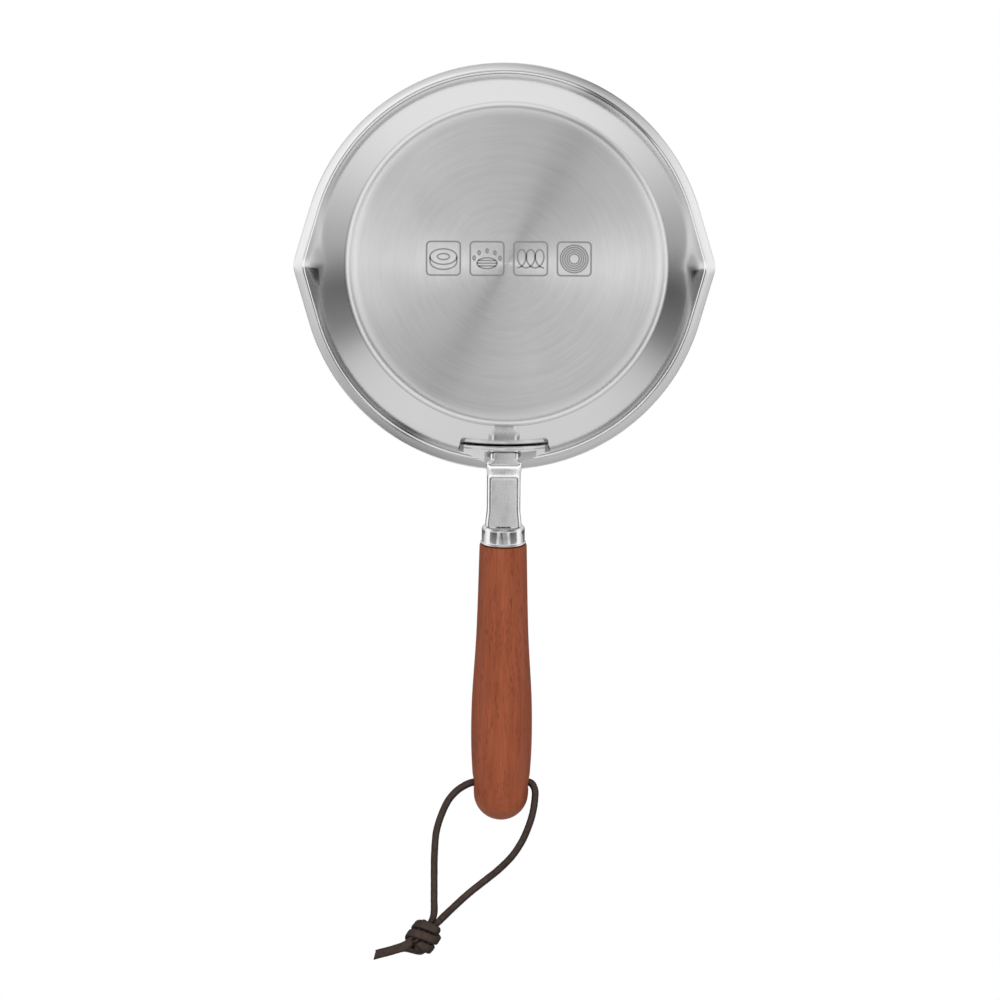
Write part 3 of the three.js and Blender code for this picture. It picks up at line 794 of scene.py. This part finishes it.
def smooth_line(points, steps):
    """A smooth line through points, with so many steps from each to the next; the first three numbers of a
    point are its place, and any others are carried along."""
    rows = [np.array(point, float) for point in points]
    rows = [2 * rows[0] - rows[1], *rows, 2 * rows[-1] - rows[-2]]
    line = [rows[1].tolist()]
    for first, start, end, last in zip(rows, rows[1:], rows[2:], rows[3:]):
        knots = [0.0]
        for here, following in ((first, start), (start, end), (end, last)):
            knots.append(knots[-1] + math.sqrt(np.linalg.norm((following - here)[:3])))
        for step in range(1, steps + 1):
            spot = between(knots[1], knots[2], step / steps)
            level = [first, start, end, last]
            for reach in (1, 2, 3):
                level = [
                    between(level[i], level[i + 1], (spot - knots[low]) / (knots[low + width] - knots[low]))
                    for i, (low, width) in enumerate(span_of(reach))
                ]
            line.append(level[0].tolist())
    return line


def span_of(reach):
    """The knot spans that each round of smooth_line blends over."""
    return {1: [(0, 1), (1, 1), (2, 1)], 2: [(0, 2), (1, 2)], 3: [(1, 1)]}[reach]


def cut_away(piece, cutter_mesh, crease=30):
    """Cuts a mesh out of a piece, for good."""
    cutter = new_piece("cutter", cutter_mesh, piece.data.materials[0])
    cut = piece.modifiers.new("cut", "BOOLEAN")
    cut.operation = "DIFFERENCE"
    cut.object = cutter
    cut.solver = "EXACT"
    evaluated = piece.evaluated_get(bpy.context.evaluated_depsgraph_get())
    finished = bpy.data.meshes.new_from_object(evaluated)
    piece.modifiers.clear()
    piece.data = finished
    bpy.data.objects.remove(cutter)
    finished.shade_smooth()
    finished.set_sharp_from_angle(angle=math.radians(crease))


def along_grain(tree, place, waves_across, waves_along):
    """A place scaled to so many waves per metre across the Z axis and along it."""
    return vector_sum(tree, "MULTIPLY", place, (waves_across, waves_across, waves_along))


def oiled_wood(name):
    """Straight grain along Z: broad bands of red and brown, fine fibres and short dark pores."""
    material, tree, shader = new_material(name)
    dark_band = (0.202, 0.049, 0.02, 1)
    light_band = (0.262, 0.068, 0.029, 1)
    fibre_colour = (0.125, 0.026, 0.011, 1)
    pore_colour = (0.07, 0.016, 0.009, 1)
    drift_reach = (0.003, 0.003, 0)
    fibre_share = 0.4
    fibre_relief = 0.4
    pore_share = 0.75
    pore_roughness = 0.2
    place = object_place(tree)
    drift = node(tree, "TexNoise", {"Vector": along_grain(tree, place, 60, 12), "Scale": 1})
    leaning = vector_sum(tree, "MULTIPLY_ADD", drift.outputs["Color"], drift_reach, place)
    bands = noise_at(tree, along_grain(tree, leaning, 420, 40), detail=3)
    fibres = noise_at(tree, along_grain(tree, leaning, 2100, 95))
    pore_place = along_grain(tree, leaning, 2600, 260)
    pores = node(tree, "TexVoronoi", {"Vector": pore_place, "Scale": 1}, feature="F1").outputs["Distance"]
    pore_patch = noise_at(tree, along_grain(tree, leaning, 700, 60))
    in_pore = spread(tree, pores, 1, 0, start=0.15, end=0.4)
    pore = product(tree, in_pore, spread(tree, pore_patch, 0, 1, start=0.42, end=0.58))
    banded = blend_colour(tree, spread(tree, bands, 0, 1), dark_band, light_band)
    fibred = blend_colour(tree, spread(tree, fibres, fibre_share, 0), banded, fibre_colour)
    colour = blend_colour(tree, product(tree, pore, pore_share), fibred, pore_colour)
    relief = sum_up(tree, "SUBTRACT", product(tree, fibres, fibre_relief), pore)
    bump = node(tree, "Bump", {"Height": relief, "Strength": 0.5, "Distance": 2e-5}).outputs[0]
    rough = sum_up(tree, "MULTIPLY_ADD", pore, pore_roughness, spread(tree, fibres, 0.46, 0.56))
    feed(tree, shader, {"Base Color": colour, "Roughness": rough, "Normal": bump, "Specular IOR Level": 0.2})
    return material


grip_contour_points = [
    (grip_front_radius, grip_start + grip_shoulder_round, 0),
    (grip_swell_radius, grip_start + grip_swell_place, 0),
    (grip_belly_radius, grip_start + grip_belly_start, 0),
    (grip_belly_radius, grip_start + grip_belly_end, 0),
    (grip_end_radius, grip_end_start, 0),
]
grip_contour = [(point[0], point[1]) for point in smooth_line(grip_contour_points, grip_contour_steps)]
grip_round_end = oval(0, grip_end_start, grip_end_radius, grip_end_length, 0, quarter_turn, grip_end_steps)
tenon_radius = ferrule_inner - seat_gap
tenon_front = ferrule_shoulder_radius + seat_gap
bore_end = tang_in_handle + seat_gap
grip_profile = [
    (0, bore_end),
    (tang_hole, bore_end),
    (tang_hole, tenon_front),
    (tenon_radius, tenon_front),
    (tenon_radius, grip_start),
    *arc(grip_front_radius - grip_shoulder_round, grip_start + grip_shoulder_round, grip_shoulder_round,
         -quarter_turn, 0, grip_shoulder_steps),
    *grip_contour[1:],
    *grip_round_end[1:],
]
grip_wood = oiled_wood("grip_wood")
grip = new_piece("turned_grip", turned(grip_profile, grip_sides), grip_wood)
hole_side_radius = next(radius for radius, along in grip_contour if along >= hole_distance)
drill_profile = [
    (0, -drill_reach),
    (hole_mouth_radius + hole_side_radius, -drill_reach),
    (hole_mouth_radius, -hole_side_radius),
    (hole_radius, hole_mouth_depth - hole_side_radius),
    (hole_radius, hole_side_radius - hole_mouth_depth),
    (hole_mouth_radius, hole_side_radius),
    (hole_mouth_radius + hole_side_radius, drill_reach),
    (0, drill_reach),
]
drill = turned(drill_profile, drill_sides)
across_grip = Matrix.Translation((0, 0, hole_distance)) @ Matrix.Rotation(quarter_turn, 4, "Y")
bmesh.ops.transform(drill, matrix=across_grip, verts=drill.verts)
cut_away(grip, drill)
grip.matrix_world = handle_place
stand_in(grip, "grip", "pan")

# Hanging lace: one length of dark brown leather lace, cut from a hide, passed through the cross hole and tied
# to itself in an overhand knot with two short tails. Each half is one piece, and they meet inside the hole.
lace_width = 0.0029
strand_thickness = 0.0022
knot_thickness = 0.0016
lay_gap = 0.00008
lace_corner = 0.7
lace_sides = 24
lace_steps = 12
lace_fuzz = 0.00005
lace_fuzz_waves = 1200
lace_crease = 50
dark_dye = (0.026, 0.0135, 0.0105, 1)
light_dye = (0.044, 0.026, 0.02, 1)
worn_hide = (0.058, 0.045, 0.038, 1)
worn_share = 0.6
pit_depth = 0.6
# Colour of the painted shade on the lace's sides.
edge_shade_hide = (0.009, 0.005, 0.004, 1)
lace_seed = 4
loop_droop = math.radians(30)
knot_place = (0.0242, 0.0499)
knot_lean = math.radians(35)
wrap_pitch = 0.007
wrap_start_turn = 70
wrap_start_along = 0.0037
wrap_step = 40
tail_slant = -0.57
lay_pitch = knot_thickness + lay_gap
core_inner = lay_pitch / 2
core_outer = 3 * lay_pitch / 2
wrap_across = 5 * lay_pitch / 2
wrap_up = (lace_width + knot_thickness) / 2 + lay_gap
loop_place = (
    Matrix.Translation(handle_place @ Vector((0, 0, hole_distance)))
    @ Matrix.Rotation(loop_droop - handle_rise, 4, "X")
)

# The two strands from the middle of the hole to the knot, as distances across the handle and out from it.
left_strand = [
    (0, 0), (0.006, 0), (0.0094, 0.0003), (0.0133, 0.0024), (0.0164, 0.0057), (0.0188, 0.0107),
    (0.0204, 0.0161), (0.021, 0.0231), (0.0211, 0.0301), (0.0211, 0.0375),
]
right_strand = [
    (0, 0), (-0.006, 0), (-0.0094, 0.0003), (-0.0107, 0.0026), (-0.0107, 0.0054), (-0.01, 0.0101),
    (-0.0089, 0.0139), (-0.0066, 0.0193), (-0.0034, 0.0242), (0.0009, 0.0286), (0.0054, 0.0323),
    (0.0104, 0.0364), (0.0155, 0.0412),
]

# One strand of the knot, as distances across, up and along: in through the core, a turn round both strands
# from the far end back, and through the core again. Four thicknesses lie side by side in the core.
knot_wrap = []
for turned_by in range(0, 360, wrap_step):
    angle = math.radians(wrap_start_turn - turned_by)
    along = wrap_start_along - wrap_pitch * turned_by / 360
    knot_wrap.append((wrap_across * math.cos(angle), wrap_up * math.sin(angle), along))
knot_entry = (0.0012, 0, -0.0068)
knot_route = [
    (core_inner, 0, -0.0035),
    (core_inner, 0, 0),
    (core_inner, 0, 0.0022),
    (0.001, 0.0008, 0.0037),
    (0.0011, 0.0018, 0.0042),
    *knot_wrap,
    (0.0023, 0.0016, -0.0033),
    (core_outer, 0.0004, -0.0029),
    (core_outer, 0, -0.0014),
    (core_outer, 0, 0.0018),
]
near_tail = [(0.0026, -0.0001, 0.0051), (0.0049, -0.0002, 0.0088), (0.0091, -0.0002, 0.0139)]
far_tail = [
    (-0.0025, 0.0003, 0.0034), (-0.0017, 0.0013, 0.0048), (0.0003, 0.0021, 0.0055), (0.003, 0.0022, 0.0067),
    (0.0055, 0.0022, 0.0096), (0.0084, 0.002, 0.0131),
]
knot_axis = Vector((math.sin(knot_lean), -math.cos(knot_lean), 0))
knot_aside = Vector((math.cos(knot_lean), math.sin(knot_lean), 0))
loop_normal = Vector((0, 0, 1))
knot_centre = Vector((knot_place[0], -knot_place[1], 0))


def in_knot(across, up, along):
    return knot_centre + across * knot_aside + up * loop_normal + along * knot_axis


def edge_on(places, side, thickness):
    """A stretch that bends its thin way in the plane of the loop, and so shows its edge."""
    rows = []
    for i, place in enumerate(places):
        ahead = places[min(i + 1, len(places) - 1)] - places[max(i - 1, 0)]
        facing = side * loop_normal.cross(ahead).normalized()
        rows.append((*place, *facing, thickness))
    return rows


def lace_route(strand, side, tail, tail_flat):
    """One half of the lace, from hole to tail: place, the way its flat side faces, and thickness."""
    strand_places = [Vector((across, -out, 0)) for across, out in strand]
    strand_places.append(in_knot(side * knot_entry[0], *knot_entry[1:]))
    route = edge_on(strand_places, side, strand_thickness)
    for across, up, along in knot_route:
        outward = Vector((across / wrap_across**2, up / wrap_up**2)).normalized()
        facing = side * (outward[0] * knot_aside + outward[1] * loop_normal)
        route.append((*in_knot(side * across, side * up, along), *facing, knot_thickness))
    tail_places = [in_knot(*spot) for spot in tail]
    if tail_flat:
        route += [(*place, *loop_normal, knot_thickness) for place in tail_places]
    else:
        route += edge_on(tail_places, side, knot_thickness)
    return route


def lace_mesh(route):
    """A flat lace with soft corners and a slanted cut at its tail; gives the mesh and its line."""
    line = smooth_line(route, lace_steps)
    places = [Vector(row[:3]) for row in line]
    rings = []
    for i, row in enumerate(line):
        ahead = (places[min(i + 1, len(line) - 1)] - places[max(i - 1, 0)]).normalized()
        facing = Vector(row[3:6])
        facing = (facing - facing.dot(ahead) * ahead).normalized()
        across = facing.cross(ahead)
        ring = []
        for corner in range(lace_sides):
            angle = 2 * math.pi * corner / lace_sides
            wide = math.copysign(abs(math.cos(angle)) ** lace_corner, math.cos(angle)) * lace_width / 2
            thick = math.copysign(abs(math.sin(angle)) ** lace_corner, math.sin(angle)) * row[6] / 2
            spot = places[i] + wide * across + thick * facing
            spot += lace_fuzz * noise.noise_vector(spot * lace_fuzz_waves)
            if i == len(line) - 1:
                spot += tail_slant * wide * ahead
            ring.append(loop_place @ spot)
        rings.append(ring)
    return lofted(rings), [loop_place @ place for place in places]


leather, tree, shader = new_material("cord_leather")
hide_place = object_place(tree)
hide = noise_at(tree, hide_place, scale=900, detail=4)
patch = noise_at(tree, hide_place, scale=120)
pits = node(tree, "TexVoronoi", {"Vector": hide_place, "Scale": 3200}).outputs["Distance"]
dyed = blend_colour(tree, spread(tree, patch, 0, 1), dark_dye, light_dye)
leather_tone = blend_colour(tree, spread(tree, hide, 0, worn_share), dyed, worn_hide)
grain = sum_up(tree, "ADD", hide, product(tree, pits, pit_depth))
leather_bump = node(tree, "Bump", {"Height": grain, "Strength": 0.6, "Distance": 6e-5}).outputs[0]
# Painted shade: where the lace's surface turns away from the loop's faces, towards its sides, it is painted
# darker.
loop_facing = loop_place.to_3x3() @ loop_normal
hide_facing = vector_value(tree, "DOT_PRODUCT", surface_normal(tree), loop_facing)
painted_edge_shade = spread(tree, sum_up(tree, "ABSOLUTE", hide_facing), 1, 0, start=0.55, end=0.98)
edge_shaded_tone = blend_colour(tree, painted_edge_shade, leather_tone, edge_shade_hide)
leather_rough = spread(tree, hide, 0.5, 0.72)
feed(tree, shader, {"Base Color": edge_shaded_tone, "Roughness": leather_rough, "Normal": leather_bump})
feed(tree, shader, {"Sheen Weight": 0.05, "Sheen Roughness": 0.5, "Specular IOR Level": 0.12})
lace_halves = [
    ("lace_left", left_strand, 1, near_tail, True),
    ("lace_right", right_strand, -1, far_tail, False),
]
noise.seed_set(lace_seed)
for lace_name, strand, side, tail, tail_flat in lace_halves:
    mesh, line = lace_mesh(lace_route(strand, side, tail, tail_flat))
    lace = new_piece(lace_name, mesh, leather, lace_crease)
    stand_in(lace, "hanging_cord", "hanging_loop")

# Floor: a wide pale sheet just under the base, which takes the pan's shadow. It only shows from above, so
# that the pan can be looked at from below, as it is here.
floor_half = 3.0
floor_drop = 0.0003
floor_dark = 0.84
floor_light = 0.87
floor_mesh = bmesh.new()
floor_corners = [(-1, -1), (1, -1), (1, 1), (-1, 1)]
floor_spots = [(x * floor_half, y * floor_half, -floor_drop) for x, y in floor_corners]
floor_mesh.faces.new([floor_mesh.verts.new(spot) for spot in floor_spots])
floor_paint, tree, shader = new_material("floor_paint")
mottle = noise_at(tree, object_place(tree), scale=6, detail=3)
floor_tone = blend_colour(tree, mottle, grey(floor_dark), grey(floor_light))
feed(tree, shader, {"Base Color": floor_tone, "Roughness": 0.8})
see_through = node(tree, "BsdfTransparent", {}).outputs[0]
from_below = node(tree, "NewGeometry", {}).outputs["Backfacing"]
one_sided = node(tree, "MixShader", {0: from_below, 1: shader.outputs[0], 2: see_through}).outputs[0]
tree.links.new(one_sided, tree.nodes["Material Output"].inputs["Surface"])
floor = new_piece("floor", floor_mesh, floor_paint)
floor.visible_glossy = False
floor.visible_diffuse = False
floor.visible_transmission = False
floor.visible_shadow = False

# Studio: a white room, and plain white to the camera. The steel mirrors its lights and the dark gaps between
# them: a strip and a side gap overhead, a gap in one wall, a dim low corner and a dimmer near side. Low down
# are bright sides with one narrow gap, a ring of light at both ends and a white card beside the camera.
along_handle = (0, 1, 0)
straight_up = (0, 0, 1)
ceiling_light = 0.83
ceiling_tilt = (0.05, 0.15, 0)
overhead_gap_depth = 0.24
overhead_dusk_depth = 0.45
side_gap_share = 0.85
low_light = 0.31
side_light_gain = 0.8
low_gap_turn = math.radians(120)
low_gap_depth = 0.4
low_ring_light = 0.9
card_direction = Vector((0, 0.07, -1)).normalized()
card_core = 0.02
card_edge = 0.085
card_light = 0.9
wall_light = 1.35
near_side_share = 0.4
dim_corner_share = 0.72
wall_gap_turn = math.radians(307)
wall_gap_share = 0.7
fill_from_below = 1
fill_from_above = 0.4
world = bpy.data.worlds.new("studio")
world.use_nodes = True
bpy.context.scene.world = world
tree = world.node_tree
background = tree.nodes["Background"]
sight = node(tree, "TexCoord", {}).outputs["Generated"]
sight_height = height_of(tree, sight)


def band(direction, middle, core, edge):
    """1 along a strip of the room that is square to a direction, fading to 0 from its core to its edge."""
    off = vector_value(tree, "DOT_PRODUCT", sight, direction)
    away = sum_up(tree, "ABSOLUTE", sum_up(tree, "SUBTRACT", off, middle))
    inputs = {"Value": away, "From Min": core, "From Max": edge, "To Min": 1, "To Max": 0}
    return node(tree, "MapRange", inputs, interpolation_type="SMOOTHSTEP").outputs[0]


def patch_of_room(along_band, height_band):
    """1 where a band along the handle's line meets a band of height; each is a middle, a core and an edge."""
    return product(tree, band(along_handle, *along_band), band(straight_up, *height_band))


def towards(turn):
    """A level direction, at a turn that is counted clockwise from the right in the view from below."""
    return (-math.cos(turn), -math.sin(turn), 0)


def square_to(turn):
    """A level direction square to the one at that turn."""
    return (math.sin(turn), -math.cos(turn), 0)


def dimmed(light, gap, share):
    """Light that loses a share of itself inside a gap."""
    return product(tree, light, sum_up(tree, "MULTIPLY_ADD", gap, -share, 1))


ceiling_slope = vector_value(tree, "DOT_PRODUCT", sight, ceiling_tilt)
ceiling = sum_up(tree, "ADD", ceiling_slope, ceiling_light)
overhead_gap = product(tree, band(along_handle, -0.12, 0.05, 0.22), overhead_gap_depth)
overhead_dusk = product(tree, band(along_handle, 0, 0, 0.5), overhead_dusk_depth)
high_up = spread(tree, sight_height, 0, 1, start=0.45, end=0.7)
dark_strip = product(tree, high_up, sum_up(tree, "ADD", overhead_gap, overhead_dusk))
side_gap = patch_of_room((-0.17, 0.1, 0.12), (0.62, 0.16, 0.2))
overhead = dimmed(sum_up(tree, "SUBTRACT", ceiling, dark_strip), side_gap, side_gap_share)
side_light = band(along_handle, 0, 0.05, 0.42)
low_gap = band(square_to(low_gap_turn), 0, 0, 0.13)
low_sides = sum_up(tree, "MULTIPLY_ADD", side_light, side_light_gain, low_light)
gapped_sides = sum_up(tree, "MULTIPLY_ADD", low_gap, -low_gap_depth, low_sides)
low_ends = sum_up(tree, "MULTIPLY_ADD", band(along_handle, 0, 0.2, 0.4), -low_ring_light, low_ring_light)
low_ring = product(tree, low_ends, band(straight_up, -0.83, 0.03, 0.08))
towards_card = vector_value(tree, "DOT_PRODUCT", sight, card_direction)
white_card = spread(tree, towards_card, 0, card_light, start=math.cos(card_edge), end=math.cos(card_core))
below = sum_up(tree, "ADD", sum_up(tree, "ADD", gapped_sides, low_ring), white_card)
is_above = spread(tree, sight_height, 0, 1, start=-0.15, end=0.15)
half_rooms = blend_value(tree, is_above, below, overhead)
bright_walls = band(straight_up, 0, 0.05, 0.5)
walled_room = blend_value(tree, bright_walls, half_rooms, wall_light)
near_side = patch_of_room((-0.14, 0.1, 0.16), (-1, 0.08, 0.11))
dim_corner = patch_of_room((-0.3, 0.22, 0.3), (-0.5, 0.24, 0.34))
dim_room = dimmed(walled_room, near_side, near_side_share)
cornered_room = dimmed(dim_room, dim_corner, dim_corner_share)
towards_gap = vector_value(tree, "DOT_PRODUCT", sight, towards(wall_gap_turn))
level_gap = spread(tree, towards_gap, 0, 1, start=0.6, end=0.85)
upright_gap = band(square_to(wall_gap_turn), 0, 0.14, 0.28)
below_shelf = spread(tree, sight_height, 1, 0, start=0.1, end=0.4)
wall_gap = product(tree, below_shelf, product(tree, level_gap, upright_gap))
room = dimmed(cornered_room, wall_gap, wall_gap_share)
rays = node(tree, "LightPath", {}).outputs
seen_plain = sum_up(tree, "MAXIMUM", rays["Is Camera Ray"], rays["Is Transmission Ray"])
fill = spread(tree, sight_height, fill_from_below, fill_from_above, start=-1, end=0.1)
lit_evenly = blend_value(tree, rays["Is Glossy Ray"], fill, room)
level = blend_value(tree, seen_plain, lit_evenly, 1.0)
white_room = node(tree, "CombineColor", {0: level, 1: level, 2: level}).outputs[0]
feed(tree, background, {"Color": white_room, "Strength": 1})

# Lamps: two square soft boxes on the camera's side, which light the wood and the leather, and one overhead
# for the pan's shadow on the floor. Reflections do not show them, because the steel mirrors the studio.
soft_boxes = [
    ("left_box", (0.7, -0.3, -1.2), 0.9, 9),
    ("right_box", (-0.7, 0.1, -1.2), 0.9, 9),
    ("overhead_box", (0.5, 0.5, 1.3), 0.8, 16),
]
for box_name, box_place, box_side, box_watts in soft_boxes:
    lamp = bpy.data.lights.new(box_name, "AREA")
    lamp.shape = "SQUARE"
    lamp.size = box_side
    lamp.energy = box_watts
    soft_box = bpy.data.objects.new(box_name, lamp)
    soft_box.location = box_place
    soft_box.visible_glossy = False
    soft_box.rotation_euler = Vector(box_place).to_track_quat("Z", "Y").to_euler()
    bpy.context.scene.collection.objects.link(soft_box)

# Camera: under the pan, looking almost straight up at its base through a long lens, with the handle towards
# the bottom of the picture. Its tilts and roll are small, and set the pan in the picture as in the photo.
camera_place = Vector((0.0307, -0.0299, -1.6))
camera_tilt = (math.radians(-1.034), math.radians(-1.512))
camera_roll = math.radians(0.2927)
camera_lens = 188.79
camera_sensor = 36
forward = Vector((math.tan(camera_tilt[0]), math.tan(camera_tilt[1]), 1)).normalized()
rightward = forward.cross(Vector((math.sin(camera_roll), math.cos(camera_roll), 0))).normalized()
upward = rightward.cross(forward)
camera_data = bpy.data.cameras.new("camera")
camera_data.lens = camera_lens
camera_data.sensor_width = camera_sensor
camera = bpy.data.objects.new("camera", camera_data)
camera_turn = Matrix((rightward, upward, -forward)).transposed().to_4x4()
camera.matrix_world = Matrix.Translation(camera_place) @ camera_turn
bpy.context.scene.collection.objects.link(camera)
bpy.context.scene.camera = camera
bpy.context.scene.view_settings.view_transform = "Standard"
